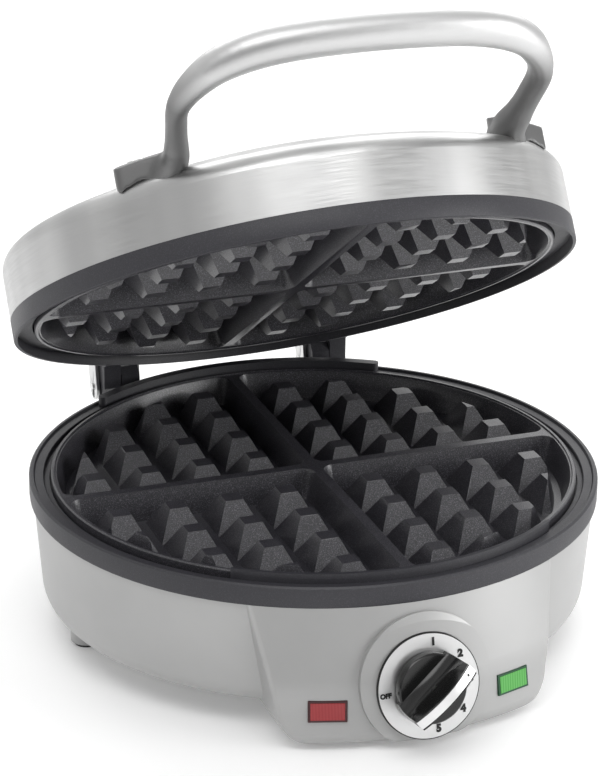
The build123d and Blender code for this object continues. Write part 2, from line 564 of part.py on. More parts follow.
lid_cover -= mirrored(screw_hole)
gasket -= screw_hole

# Knob: skirt, tall scooped grip with a crowned top and a bright strip let into it
KNOB_GAP = 0.5
knob_base = BEZEL_RISE - 0.2 + KNOB_GAP
knob_top = knob_base + KNOB_HEIGHT
skirt_top = knob_base + KNOB_SKIRT
half = GRIP_LENGTH / 2
CROWN = 3.6
GRIP_FOOT = 6.2
GRIP_TOP = 2.7


def crown_slab(width, low, top):
    """Side view of the grip, along local Y, with its crowned top edge."""
    edges = [
        Line((-half, low), (half, low)), Line((half, low), (half, top - CROWN)),
        ThreePointArc((half, top - CROWN), (0, top), (-half, top - CROWN)), Line((-half, top - CROWN), (-half, low))]
    side = Plane(origin=(-width / 2, 0, 0), x_dir=(0, 1, 0), z_dir=(1, 0, 0)) * make_face(edges)
    return extrude(side, width)


skirt = Pos(0, 0, knob_base) * extrude(Circle(KNOB_DIAMETER / 2), KNOB_SKIRT)
skirt = chamfer(skirt.faces().sort_by(Axis.Z)[-1].edges(), 0.6)
waist = skirt_top + 8.5
grip_edges = [
    Line((-GRIP_FOOT, knob_base + 1), (GRIP_FOOT, knob_base + 1)), Line((GRIP_FOOT, knob_base + 1), (GRIP_FOOT, skirt_top)),
    ThreePointArc((GRIP_FOOT, skirt_top), (3.4, skirt_top + 3.4), (GRIP_TOP, waist)),
    Line((GRIP_TOP, waist), (GRIP_TOP, knob_top + 1)), Line((GRIP_TOP, knob_top + 1), (-GRIP_TOP, knob_top + 1)),
    Line((-GRIP_TOP, knob_top + 1), (-GRIP_TOP, waist)),
    ThreePointArc((-GRIP_TOP, waist), (-3.4, skirt_top + 3.4), (-GRIP_FOOT, skirt_top)),
    Line((-GRIP_FOOT, skirt_top), (-GRIP_FOOT, knob_base + 1))]
grip = Plane.XZ.offset(-half) * make_face(grip_edges)
grip = extrude(grip, GRIP_LENGTH) & crown_slab(30, knob_base, knob_top)
grip = grip & (Pos(0, 0, knob_base) * extrude(Circle(half), 40))
strip = crown_slab(STRIP_WIDTH, knob_base, knob_top) - crown_slab(STRIP_WIDTH + 1, knob_base - 1, knob_top - 0.9)
strip = strip & (Pos(0, 0, knob_base) * extrude(Circle(half), 40))
groove = crown_slab(STRIP_WIDTH + 0.1, knob_base, knob_top + 3) - crown_slab(STRIP_WIDTH + 2, knob_base - 1, knob_top - 0.9)
knob = skirt + grip - groove
SHAFT_DEPTH = 24.0
SHAFT_ENGAGED = 10.0
shaft = Pos(0, 0, -SHAFT_DEPTH) * extrude(Circle(SHAFT_DIAMETER / 2), SHAFT_DEPTH + knob_base + SHAFT_ENGAGED)
shaft -= Pos(0, SHAFT_DIAMETER, knob_base + SHAFT_ENGAGED / 2 + 2) * Box(20, SHAFT_DIAMETER + 3, SHAFT_ENGAGED + 4)
bore = Pos(0, 0, knob_base - 1) * extrude(Circle(SHAFT_DIAMETER / 2 + 0.05), SHAFT_ENGAGED + 1.3)
bore -= Pos(0, SHAFT_DIAMETER + 0.05, knob_base + SHAFT_ENGAGED / 2 + 2) * Box(20, SHAFT_DIAMETER + 3, SHAFT_ENGAGED + 8)
knob -= bore
turned = DIAL * Rot(0, 0, -KNOB_POINTS_AT)
knob = turned * knob
strip = turned * strip
shaft = turned * shaft

# Dial ring in its recess
dial_ring = DIAL * Pos(0, 0, BEZEL_RISE - DIAL_THICKNESS - 0.2) * extrude(Circle(DIAL_DIAMETER / 2), DIAL_THICKNESS)
dial_ring -= DIAL * Pos(0, 0, -5) * extrude(Circle(SHAFT_DIAMETER / 2 + 1.5), 20)

# Thermostat behind the panel, on its bracket
BODY_HALF = 14.0
body_front = -6.5
thermostat = DIAL * Pos(0, 0, -SHAFT_DEPTH + 1) * extrude(Circle(BODY_HALF), SHAFT_DEPTH - 1 + body_front - 1.2)
thermostat -= DIAL * Pos(0, 0, -SHAFT_DEPTH - 1) * extrude(Circle(SHAFT_DIAMETER / 2 + RUN), 40)
plate = DIAL * Pos(0, 0, body_front - 1.2) * extrude(RectangleRounded(44, 18, 3), 1.2)
plate -= DIAL * Pos(0, 0, -20) * extrude(Circle(SHAFT_DIAMETER / 2 + 0.6), 40)
panel_screws = []
for x in (-18, 18):
    post = DIAL * Pos(x, 0, body_front) * extrude(Circle(3.5), -body_front - 1.0)
    housing += post
    hole = DIAL * Pos(x, 0, -12) * extrude(Circle(1.4 + RUN), 10.5)
    housing -= hole
    plate -= hole
    screw = DIAL * Pos(x, 0, body_front - 1.2 - 1.8) * extrude(Circle(2.8), 1.8)
    screw += DIAL * Pos(x, 0, body_front - 2) * extrude(Circle(1.4), 6)
    panel_screws.append(screw)

# Lamps: dark frame through the panel, coloured lens and the lamp behind it
frames, lenses, bulbs = [], [], []
for side in (-1, 1):
    place = lamp_plane(side)
    frame = place * Pos(0, 0, -5.0) * extrude(Rectangle(LAMP_LENGTH, LAMP_HEIGHT), 5.5)
    frame += place * Pos(0, 0, -5.0) * extrude(Rectangle(LAMP_LENGTH + 3, LAMP_HEIGHT + 3), 1.4)
    inside = Rectangle(LAMP_LENGTH - 1.6, LAMP_HEIGHT - 1.6)
    frame -= place * Pos(0, 0, -6) * extrude(inside, 8)
    frames.append(frame)
    pane = Rectangle(LAMP_LENGTH - 1.6 - 2 * RUN, LAMP_HEIGHT - 1.6 - 2 * RUN)
    lens = place * Pos(0, 0, -3.6) * extrude(pane, 4.3)
    lenses.append(lens)
    bulb = place * Pos(0, 0, -9.0) * extrude(Rectangle(8, 5), 3.9)
    bulb += place * Pos(0, 0, -5.2) * extrude(Rectangle(6, 4), 1.5)
    bulbs.append(bulb)

# Bottom cover on four bosses, and its screws
for angle in (45, 135, 225, 315):
    x, y = polar(COVER_RADIUS - 2.0, angle)
    cover -= disc(1.7, 0, 30, x, y)
    housing += disc(4.5, BOWL_BOTTOM + COVER_THICKNESS, BOWL_BOTTOM + 12, x, y)
    housing -= disc(1.5 + RUN, 0, BOWL_BOTTOM + 11, x, y)
    cover_screws.append(disc(3.0, BOWL_BOTTOM - 1.5, BOWL_BOTTOM, x, y) + disc(1.5, BOWL_BOTTOM - 1, BOWL_BOTTOM + 10, x, y))

# Terminal block on the bottom cover
terminal = block(-22, 22, 62, 76, BOWL_BOTTOM + COVER_THICKNESS, BOWL_BOTTOM + COVER_THICKNESS + 13)

# Lid swung open about the hinge pins
hinge_axis = Axis((0, HINGE_Y, HINGE_Z), (-1, 0, 0))


def swing(shape):
    return shape.rotate(hinge_axis, LID_OPEN)


upper_plate = flipped(lower_plate)
upper_element = flipped(lower_element)
upper_reflector = flipped(lower_reflector)
upper_screws = [flipped(s) for s in plate_screws()]

nodes = {
    "base_housing": housing,
    "base_rim": rim,
    "lower_plate": lower_plate,
    "lower_element": lower_element,
    "lower_reflector": lower_reflector,
    "lower_plate_screws": solids(*plate_screws()),
    "bottom_cover": cover,
    "bottom_cover_screws": solids(*cover_screws),
    "leg_pads": solids(*leg_pads),
    "pod_pads": solids(*pod_pads),
    "cord_gland": gland,
    "hinge_pin_right": hinge_pin,
    "hinge_pin_left": mirrored(hinge_pin),
    "dial_ring": dial_ring,
    "thermostat_body": thermostat,
    "thermostat_bracket": plate,
    "thermostat_screws": solids(*panel_screws),
    "heating_lamp_frame": frames[0],
    "heating_lamp_lens": lenses[0],
    "heating_lamp": bulbs[0],
    "ready_lamp_frame": frames[1],
    "ready_lamp_lens": lenses[1],
    "ready_lamp": bulbs[1],
    "terminal_block": terminal,
    "lid_cover": swing(lid_cover),
    "lid_rim": swing(lid_rim),
    "upper_plate": swing(upper_plate),
    "upper_element": swing(upper_element),
    "upper_reflector": swing(upper_reflector),
    "upper_plate_screws": solids(*[swing(s) for s in upper_screws]),
    "lid_hinge_right": swing(bracket),
    "lid_hinge_left": swing(mirrored(bracket)),
    "lid_hinge_screws": solids(*[swing(s) for s in bracket_screws]),
    "handle": swing(handle),
    "handle_gasket_right": swing(gasket),
    "handle_gasket_left": swing(mirrored(gasket)),
    "handle_screws": solids(swing(handle_screw), swing(mirrored(handle_screw))),
    "handle_nuts": solids(swing(handle_nut), swing(mirrored(handle_nut))),
    "knob": knob,
    "knob_strip": strip,
    "thermostat_shaft": shaft,
}
for name, shape in nodes.items():
    save(shape, name)
    print(name, len(shape.solids()), round(shape.volume))
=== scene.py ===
# %% [markdown]
# A round waffle maker stands open on a pale floor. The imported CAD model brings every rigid
# piece at its real size and place, so this lesson dresses those pieces: it gives each one a
# procedural material, softens the sharp CAD edges, recasts the handle with soft fillets, prints
# the dial and lights the scene.

# %% Load the frame
import math

import bmesh
import bpy
from mathutils import Matrix, Vector


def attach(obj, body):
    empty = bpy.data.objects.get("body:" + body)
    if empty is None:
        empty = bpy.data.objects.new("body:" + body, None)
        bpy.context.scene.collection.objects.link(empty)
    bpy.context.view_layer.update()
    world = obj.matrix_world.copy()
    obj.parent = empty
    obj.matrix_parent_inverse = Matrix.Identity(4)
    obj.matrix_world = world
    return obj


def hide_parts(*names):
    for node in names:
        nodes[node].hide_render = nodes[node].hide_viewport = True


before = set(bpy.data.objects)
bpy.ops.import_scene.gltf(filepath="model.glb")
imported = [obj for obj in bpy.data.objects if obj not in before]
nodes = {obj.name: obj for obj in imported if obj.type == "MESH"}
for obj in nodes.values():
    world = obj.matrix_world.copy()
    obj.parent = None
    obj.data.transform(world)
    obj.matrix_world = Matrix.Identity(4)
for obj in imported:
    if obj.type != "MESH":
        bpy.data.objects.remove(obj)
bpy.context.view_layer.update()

# %% [markdown]
# The camera repeats the photograph's viewpoint: left of the front, a little above, with a long
# lens. The small sideways shift keeps the object where the photograph frames it.

# %% Camera at the photograph's angle
AZIMUTH = math.radians(-21.325)
ELEVATION = math.radians(21.782)
ROLL = math.radians(0.861)
CAMERA_PLACE = (-0.40128, -1.07685, 0.56294)
right = Vector((math.cos(AZIMUTH), math.sin(AZIMUTH), 0.0))
level = Vector((math.sin(AZIMUTH), -math.cos(AZIMUTH), 0.0))
back = level * math.cos(ELEVATION) + Vector((0.0, 0.0, math.sin(ELEVATION)))
up = back.cross(right)
camera_data = bpy.data.cameras.new("photo_camera")
camera_data.sensor_fit = "VERTICAL"
camera_data.sensor_height = 36.0
camera_data.lens = 134.2
camera_data.shift_x = -0.0724
camera_data.shift_y = 0.0008
camera = bpy.data.objects.new("photo_camera", camera_data)
bpy.context.scene.collection.objects.link(camera)
turned_right = right * math.cos(ROLL) + up * math.sin(ROLL)
turned_up = up * math.cos(ROLL) - right * math.sin(ROLL)
axes = Matrix((turned_right, turned_up, back)).transposed()
camera.matrix_world = Matrix.Translation(CAMERA_PLACE) @ axes.to_4x4()
bpy.context.scene.camera = camera
print("camera at", tuple(round(v, 3) for v in camera.location))

# %% [markdown]
# The lights stand for a white studio sweep. Metal shows what is around it, so the world is not
# one flat white: it is bright behind the object and falls to dark grey in front, which leaves the
# handle's legs and the lid's band grey. A wide panel behind and to the right edges the plates, a
# high one in front draws the bright line along the handle, one at the right front models the
# housing, and a weak one fills the left. The plain display transform keeps white paper white, as
# in a catalogue picture.

# %% Soft studio light
def area_light(name, place, target, size, power):
    data = bpy.data.lights.new(name, "AREA")
    data.shape = "RECTANGLE"
    data.size, data.size_y = size
    data.energy = power
    lamp = bpy.data.objects.new(name, data)
    bpy.context.scene.collection.objects.link(lamp)
    aim = Vector(place) - Vector(target)
    lamp.matrix_world = Matrix.Translation(place) @ aim.to_track_quat("Z", "Y").to_matrix().to_4x4()


area_light("back_panel", (0.5, 1.2, 1.3), (0.0, 0.0, 0.2), (2.4, 1.2), 18.0)
area_light("top_panel", (-0.35, -1.05, 1.9), (0.0, 0.0, 0.25), (1.9, 0.9), 18.0)
area_light("right_panel", (1.25, -1.0, 0.55), (0.0, 0.0, 0.1), (0.9, 0.9), 13.0)
area_light("left_panel", (-1.4, -0.6, 0.8), (0.0, 0.0, 0.1), (0.5, 0.9), 0.6)
bpy.context.scene.view_settings.view_transform = "Standard"

# %% [markdown]
# The world's brightness follows one direction. A dot product with it gives a number from -1 in
# front to 1 behind, a map range brings that to 0 and 1, and a ramp turns it into two greys.

# %% World that brightens towards the back
TOWARDS_BACK = (0.0, 0.95, 0.30)
DARK_FRONT, BRIGHT_BACK = 0.14, 0.85
world = bpy.data.worlds.new("studio")
bpy.context.scene.world = world
world.use_nodes = True
sky = world.node_tree
direction = sky.nodes.new("ShaderNodeTexCoord")
toward = sky.nodes.new("ShaderNodeVectorMath")
toward.operation = "DOT_PRODUCT"
toward.inputs[1].default_value = TOWARDS_BACK
half_range = sky.nodes.new("ShaderNodeMapRange")
half_range.inputs["From Min"].default_value = -1.0
sweep = sky.nodes.new("ShaderNodeValToRGB")
sky.links.new(direction.outputs["Generated"], toward.inputs[0])
sky.links.new(toward.outputs["Value"], half_range.inputs["Value"])
sky.links.new(half_range.outputs["Result"], sweep.inputs["Fac"])
for stop, position, grey in zip(sweep.color_ramp.elements, (0.15, 0.8), (DARK_FRONT, BRIGHT_BACK)):
    stop.position = position
    stop.color = (grey, grey, grey, 1.0)
sky.links.new(sweep.outputs["Color"], sky.nodes["Background"].inputs["Color"])
sky.nodes["Background"].inputs["Strength"].default_value = 0.95
print("world nodes", len(sky.nodes))

# %% [markdown]
# The floor is one big square of white paper. A little light of its own stands for the lit
# sweep around it, so that only the contact shadow under the feet stays grey. The small helper
# serves every new object: each keeps its origin at the world's and its place in its mesh.

# %% Paper floor
def new_object(name, mesh, material):
    """Puts a mesh with one material into the scene, at the origin."""
    mesh.materials.clear()
    mesh.materials.append(material)
    piece = bpy.data.objects.new(name, mesh)
    bpy.context.scene.collection.objects.link(piece)
    return piece


FLOOR_HALF = 6.0
mesh = bmesh.new()
bmesh.ops.create_grid(mesh, x_segments=1, y_segments=1, size=FLOOR_HALF)
floor_mesh = bpy.data.meshes.new("floor")
mesh.to_mesh(floor_mesh)
mesh.free()
floor_material = bpy.data.materials.new("floor_paper")
floor_material.use_nodes = True
paper = floor_material.node_tree.nodes["Principled BSDF"]
paper.inputs["Base Color"].default_value = (0.9, 0.9, 0.9, 1.0)
paper.inputs["Roughness"].default_value = 0.7
paper.inputs["Emission Color"].default_value = (1.0, 1.0, 1.0, 1.0)
paper.inputs["Emission Strength"].default_value = 0.17
floor = new_object("floor", floor_mesh, floor_material)
print("floor", tuple(round(v, 1) for v in floor.dimensions))

# %% [markdown]
# Two effects come back in many finishes: a fine speckle, as in paint flakes and the sandy
# non-stick coating, and a drawn-out grain, as on brushed steel. Each becomes a node group, so
# that a material only places it and sets its own scale.

# %% Shared shader groups
def new_group(name, inputs, outputs):
    group = bpy.data.node_groups.new(name, "ShaderNodeTree")
    for label, kind, value in inputs:
        socket = group.interface.new_socket(label, in_out="INPUT", socket_type=kind)
        if value is not None:
            socket.default_value = value
    for label, kind in outputs:
        group.interface.new_socket(label, in_out="OUTPUT", socket_type=kind)
    return group, group.nodes.new("NodeGroupInput"), group.nodes.new("NodeGroupOutput")


speckle, s_in, s_out = new_group(
    "fine_speckle",
    [("Vector", "NodeSocketVector", None), ("Scale", "NodeSocketFloat", 900.0),
     ("Cut", "NodeSocketFloat", 0.6)],
    [("Mask", "NodeSocketFloat"), ("Cloud", "NodeSocketFloat")])
grain_noise = speckle.nodes.new("ShaderNodeTexNoise")
grain_noise.inputs["Detail"].default_value = 2.0
edge_map = speckle.nodes.new("ShaderNodeMapRange")
edge_map.inputs["From Max"].default_value = 0.8
cloud = speckle.nodes.new("ShaderNodeTexNoise")
cloud.inputs["Scale"].default_value = 18.0
cloud.inputs["Detail"].default_value = 3.0
speckle.links.new(s_in.outputs["Vector"], grain_noise.inputs["Vector"])
speckle.links.new(s_in.outputs["Scale"], grain_noise.inputs["Scale"])
speckle.links.new(s_in.outputs["Cut"], edge_map.inputs["From Min"])
speckle.links.new(grain_noise.outputs["Fac"], edge_map.inputs["Value"])
speckle.links.new(s_in.outputs["Vector"], cloud.inputs["Vector"])
speckle.links.new(edge_map.outputs["Result"], s_out.inputs["Mask"])
speckle.links.new(cloud.outputs["Fac"], s_out.inputs["Cloud"])
print("group", speckle.name)


# %% [markdown]
# Brushed steel shows fine lines along the direction the belt ran. On a round lid they run
# round the axis, so the group turns the coordinates into radius, angle and height, and
# stretches noise along the angle. It also puts out slow waves round the axis, which stand for
# the soft fans of light that brushed metal shows.

# %% Round grain group
ring_grain, r_in, r_out = new_group(
    "round_grain",
    [("Vector", "NodeSocketVector", None), ("Fineness", "NodeSocketFloat", 2600.0),
     ("Length", "NodeSocketFloat", 9.0)],
    [("Lines", "NodeSocketFloat"), ("Painted_sheen_fans", "NodeSocketFloat")])
split = ring_grain.nodes.new("ShaderNodeSeparateXYZ")
ring_grain.links.new(r_in.outputs["Vector"], split.inputs[0])


def math_node(group, operation, a, b=None):
    node = group.nodes.new("ShaderNodeMath")
    node.operation = operation
    for index, value in enumerate((a, b)):
        if value is None:
            continue
        if isinstance(value, (int, float)):
            node.inputs[index].default_value = value
        else:
            group.links.new(value, node.inputs[index])
    return node.outputs[0]


angle = math_node(ring_grain, "ARCTAN2", split.outputs["Y"], split.outputs["X"])
length = ring_grain.nodes.new("ShaderNodeVectorMath")
length.operation = "LENGTH"
flat = ring_grain.nodes.new("ShaderNodeCombineXYZ")
ring_grain.links.new(split.outputs["X"], flat.inputs["X"])
ring_grain.links.new(split.outputs["Y"], flat.inputs["Y"])
ring_grain.links.new(flat.outputs[0], length.inputs[0])
wide = ring_grain.nodes.new("ShaderNodeCombineXYZ")
for axis, distance, stretch in (("X", angle, "Length"), ("Y", length.outputs["Value"], "Fineness"),
                                ("Z", split.outputs["Z"], "Fineness")):
    scaled = math_node(ring_grain, "MULTIPLY", distance, r_in.outputs[stretch])
    ring_grain.links.new(scaled, wide.inputs[axis])
lines = ring_grain.nodes.new("ShaderNodeTexNoise")
lines.inputs["Scale"].default_value = 1.0
lines.inputs["Detail"].default_value = 3.0
ring_grain.links.new(wide.outputs[0], lines.inputs["Vector"])
ring_grain.links.new(lines.outputs["Fac"], r_out.inputs["Lines"])
slow = ring_grain.nodes.new("ShaderNodeCombineXYZ")
ring_grain.links.new(math_node(ring_grain, "COSINE", angle), slow.inputs["X"])
ring_grain.links.new(math_node(ring_grain, "SINE", angle), slow.inputs["Y"])
fans = ring_grain.nodes.new("ShaderNodeTexNoise")
fans.inputs["Scale"].default_value = 3.2
fans.inputs["Detail"].default_value = 2.0
ring_grain.links.new(slow.outputs[0], fans.inputs["Vector"])
ring_grain.links.new(fans.outputs["Fac"], r_out.inputs["Painted_sheen_fans"])
print("group", ring_grain.name)


# %% [markdown]
# Every material starts the same way: a Principled shader, Object coordinates, and for pieces
# of the lid a Mapping node that undoes the lid's swing, so that patterns follow its own axis.
# Noise seldom leaves the band from 0.3 to 0.7, so colours and roughness are spread over that.

# %% Material helpers
HINGE = (0.0, 0.129, 0.0638)
LID_OPEN = math.radians(32.8)
CLOUDS = (0.3, 0.7)


def new_material(name, roughness, metallic):
    material = bpy.data.materials.new(name)
    material.use_nodes = True
    shader = material.node_tree.nodes["Principled BSDF"]
    shader.inputs["Roughness"].default_value = roughness
    shader.inputs["Metallic"].default_value = metallic
    return material, material.node_tree, shader


def coordinates(tree, on_lid=False):
    source = tree.nodes.new("ShaderNodeTexCoord").outputs["Object"]
    if not on_lid:
        return source
    shift = tree.nodes.new("ShaderNodeMapping")
    shift.inputs["Location"].default_value = tuple(-v for v in HINGE)
    turn = tree.nodes.new("ShaderNodeMapping")
    turn.inputs["Rotation"].default_value = (LID_OPEN, 0.0, 0.0)
    turn.inputs["Location"].default_value = HINGE
    tree.links.new(source, shift.inputs["Vector"])
    tree.links.new(shift.outputs["Vector"], turn.inputs["Vector"])
    return turn.outputs["Vector"]


def place(tree, group, vector, **values):
    node = tree.nodes.new("ShaderNodeGroup")
    node.node_tree = group
    tree.links.new(vector, node.inputs["Vector"])
    for label, value in values.items():
        node.inputs[label].default_value = value
    return node


def blend_colors(tree, factor, dark, light, low=0.0, high=1.0):
    ramp = tree.nodes.new("ShaderNodeValToRGB")
    for stop, position, color in zip(ramp.color_ramp.elements, (low, high), (dark, light)):
        stop.position = position
        stop.color = (*color, 1.0)
    tree.links.new(factor, ramp.inputs["Fac"])
    return ramp.outputs["Color"]


def color_by(tree, shader, *blend):
    tree.links.new(blend_colors(tree, *blend), shader.inputs["Base Color"])


def map_value(tree, factor, low, high, out_low, out_high):
    node = tree.nodes.new("ShaderNodeMapRange")
    limits = {"From Min": low, "From Max": high, "To Min": out_low, "To Max": out_high}
    for label, value in limits.items():
        node.inputs[label].default_value = value
    tree.links.new(factor, node.inputs["Value"])
    return node.outputs["Result"]


def rough_by(tree, shader, *values):
    tree.links.new(map_value(tree, *values), shader.inputs["Roughness"])


def bump(tree, shader, height, strength, distance):
    node = tree.nodes.new("ShaderNodeBump")
    node.inputs["Strength"].default_value = strength
    node.inputs["Distance"].default_value = distance
    tree.links.new(height, node.inputs["Height"])
    tree.links.new(node.outputs["Normal"], shader.inputs["Normal"])


def dress(material, *names):
    for name in names:
        slots = nodes[name].data.materials
        slots.clear()
        slots.append(material)


print("lid patterns turn by", round(math.degrees(LID_OPEN), 1), "degrees")

# %% [markdown]
# The housing is plastic sprayed with silver paint: light grey, half metallic, with flakes too
# fine to see one by one and a soft gloss. A low bump keeps the highlight from looking like glass.

# %% Silver paint
paint, tree, shader = new_material("silver_paint", 0.42, 0.35)
vector = coordinates(tree)
flakes = place(tree, speckle, vector, Scale=2400.0, Cut=0.45)
color_by(tree, shader, flakes.outputs["Cloud"], (0.40, 0.40, 0.398), (0.45, 0.45, 0.447), *CLOUDS)
bump(tree, shader, flakes.outputs["Mask"], 0.06, 0.0002)
dress(paint, "base_housing")
print("painted base_housing")

# %% [markdown]
# The two rims are dark moulded plastic with a fine spark-eroded texture. The plates wear a
# non-stick coat: nearly black, satin, with pale grains like sand. Both use the speckle group
# at different scales and strengths.

# %% Charcoal rims and non-stick plates
for name, on_lid in (("base_rim", False), ("lid_rim", True)):
    charcoal, tree, shader = new_material(name + "_charcoal", 0.5, 0.0)
    vector = coordinates(tree, on_lid)
    dots = place(tree, speckle, vector, Scale=2300.0, Cut=0.5)
    color_by(tree, shader, dots.outputs["Mask"], (0.028, 0.0275, 0.033), (0.060, 0.058, 0.070))
    rough_by(tree, shader, dots.outputs["Cloud"], *CLOUDS, 0.42, 0.55)
    bump(tree, shader, dots.outputs["Mask"], 0.15, 0.0002)
    dress(charcoal, name)
for name, on_lid in (("lower_plate", False), ("upper_plate", True)):
    coat, tree, shader = new_material(name + "_coating", 0.4, 0.0)
    vector = coordinates(tree, on_lid)
    sand = place(tree, speckle, vector, Scale=2500.0, Cut=0.5)
    color_by(tree, shader, sand.outputs["Mask"], (0.023, 0.0225, 0.027), (0.175, 0.168, 0.196))
    rough_by(tree, shader, sand.outputs["Cloud"], *CLOUDS, 0.33, 0.46)
    shader.inputs["Specular IOR Level"].default_value = 0.6
    shader.inputs["Coat Weight"].default_value = 0.35
    shader.inputs["Coat Roughness"].default_value = 0.18
    bump(tree, shader, sand.outputs["Mask"], 0.2, 0.0002)
    dress(coat, name)
print("coated plates and rims")

# %% [markdown]
# The lid is brushed stainless steel. The round grain group gives the lines, which vary the
# roughness and a very low bump, and the fans, a painted sheen that lightens and darkens the colour
# round the axis.

# %% Brushed lid
steel, tree, shader = new_material("brushed_lid_steel", 0.3, 1.0)
vector = coordinates(tree, True)
brush = place(tree, ring_grain, vector)
# Painted sheen: the fans make the steel's colour lighter and darker round the axis.
color_by(tree, shader, brush.outputs["Painted_sheen_fans"], (0.45, 0.45, 0.45), (0.60, 0.60, 0.596), 0.35, 0.65)
rough_by(tree, shader, brush.outputs["Lines"], *CLOUDS, 0.30, 0.46)
bump(tree, shader, brush.outputs["Lines"], 0.12, 0.0001)
dress(steel, "lid_cover")
print("brushed lid_cover")

# %% [markdown]
# The handle is cast metal with a satin finish, and the small steel pieces are plain zinc
# plated sheet. Both are metal with a faint cloudiness in the roughness. The handle's colour has
# a painted highlight on the bar and painted shade on the legs, climbing from legs to bar along
# the arch between two distances in metres given by a dot product with the arch's upward direction.

# %% Cast handle, hinge and screw metals
ARCH_TILT = math.radians(25.0)
ARCH_UP = Vector((0.0, -math.cos(ARCH_TILT), math.sin(ARCH_TILT)))
LEGS_END, BAR_START = 0.165, 0.185
satin, tree, shader = new_material("satin_cast_metal", 0.44, 0.9)
vector = coordinates(tree, True)
fine = place(tree, speckle, vector, Scale=1600.0, Cut=0.45)
climb = tree.nodes.new("ShaderNodeVectorMath")
climb.operation = "DOT_PRODUCT"
climb.inputs[1].default_value = ARCH_UP
tree.links.new(vector, climb.inputs[0])
# Painted highlight and painted shade: dark legs, bright bar, along the arch.
painted_bar_sheen = map_value(tree, climb.outputs["Value"], LEGS_END, BAR_START, 0.0, 1.0)
color_by(tree, shader, painted_bar_sheen, (0.19, 0.19, 0.19), (0.62, 0.62, 0.62))
rough_by(tree, shader, fine.outputs["Mask"], 0.0, 1.0, 0.42, 0.50)
bump(tree, shader, fine.outputs["Mask"], 0.05, 0.0001)


def metal(name, low, high, rough, *pieces):
    material, tree, shader = new_material(name, rough, 1.0)
    cloudy = place(tree, speckle, coordinates(tree), Scale=700.0, Cut=0.5)
    color_by(tree, shader, cloudy.outputs["Cloud"], low, high, *CLOUDS)
    rough_by(tree, shader, cloudy.outputs["Mask"], 0.0, 1.0, rough, rough + 0.1)
    dress(material, *pieces)


metal("zinc_plate", (0.55, 0.55, 0.55), (0.68, 0.68, 0.67), 0.3, "lid_hinge_left",
      "lid_hinge_right", "lid_hinge_screws", "lower_plate_screws", "upper_plate_screws",
      "bottom_cover_screws", "thermostat_bracket", "thermostat_screws", "handle_nuts",
      "thermostat_shaft")
metal("bright_steel", (0.62, 0.62, 0.62), (0.74, 0.74, 0.73), 0.24,
      "hinge_pin_left", "hinge_pin_right", "handle_screws")
metal("galvanised_sheet", (0.48, 0.48, 0.48), (0.62, 0.62, 0.61), 0.4,
      "bottom_cover", "lower_reflector", "upper_reflector")
metal("element_sheath", (0.16, 0.15, 0.14), (0.26, 0.25, 0.23), 0.5,
      "lower_element", "upper_element")
metal("polished_trim", (0.78, 0.78, 0.78), (0.86, 0.86, 0.86), 0.36, "dial_ring", "knob_strip")
print("metals dressed")

# %% [markdown]
# Rubber, black mouldings, ceramic and the lamps are small, but each gets its own finish. The
# lenses are clear coloured plastic over a lamp, so they are glossy with fine ribs inside.

# %% Plastics, rubber and lenses
def plastic(name, dark, light, rough, *pieces, strength=0.1):
    material, tree, shader = new_material(name, rough, 0.0)
    dots = place(tree, speckle, coordinates(tree), Scale=900.0, Cut=0.5)
    color_by(tree, shader, dots.outputs["Cloud"], dark, light, *CLOUDS)
    bump(tree, shader, dots.outputs["Mask"], strength, 0.0002)
    dress(material, *pieces)
    return material


pad_rubber = plastic("pad_rubber", (0.02, 0.02, 0.02), (0.035, 0.035, 0.035), 0.7,
                     "leg_pads", "pod_pads")
plastic("knob_black", (0.008, 0.008, 0.008), (0.012, 0.012, 0.012), 0.16, "knob", strength=0.01)
plastic("moulded_black", (0.02, 0.02, 0.021), (0.03, 0.03, 0.031), 0.45, "cord_gland")
plastic("dark_red_bezel", (0.045, 0.006, 0.008), (0.06, 0.010, 0.012), 0.3, "heating_lamp_frame")
plastic("dark_green_bezel", (0.004, 0.05, 0.018), (0.008, 0.075, 0.026), 0.3, "ready_lamp_frame")
plastic("ceramic", (0.62, 0.60, 0.55), (0.70, 0.68, 0.63), 0.5,
        "thermostat_body", "terminal_block")
plastic("lamp_glass", (0.65, 0.58, 0.5), (0.72, 0.65, 0.57), 0.2, "heating_lamp", "ready_lamp")
LENSES = (("red_lens", "heating_lamp_lens", (0.27, 0.018, 0.022), (0.32, 0.026, 0.03), 0.05),
          ("green_lens", "ready_lamp_lens", (0.06, 0.30, 0.05), (0.10, 0.37, 0.08), 0.14))
for name, piece, dark, light, glow in LENSES:
    lens, tree, shader = new_material(name, 0.14, 0.0)
    ribs = tree.nodes.new("ShaderNodeTexWave")
    ribs.inputs["Scale"].default_value = 260.0
    tree.links.new(coordinates(tree), ribs.inputs["Vector"])
    tint = blend_colors(tree, ribs.outputs["Fac"], dark, light)
    tree.links.new(tint, shader.inputs["Base Color"])
    tree.links.new(tint, shader.inputs["Emission Color"])
    shader.inputs["Emission Strength"].default_value = glow
    dress(lens, piece)
print("plastics dressed")

# %% [markdown]
# The lift handle is one casting: a round bar on top that flattens into slim legs, and the legs
# flow into feet that follow the shoulder of the lid. The CAD handle stays in the scene, hidden,
# and this finer casting stands for it. It is drawn in millimetres on the closed lid,
# and one matrix swings it open with the lid. First comes the lid's surface: a dome, then a
# small round shoulder, then a short skirt for points just outside the lid.

# %% Surface of the closed lid
RIM_TOP = 68.0
DOME_RADIUS, DOME_CENTRE = 362.0, -237.1
SHOULDER_RADIUS, SHOULDER_RING, BAND_TOP = 8.66, 113.84, 97.4
SHOULDER_SINE = 0.322
SKIRT_HEIGHT = 3.0
lid_swing = (Matrix.Translation(HINGE) @ Matrix.Rotation(-LID_OPEN, 4, "X")
             @ Matrix.Translation([-v for v in HINGE]) @ Matrix.Scale(0.001, 4))


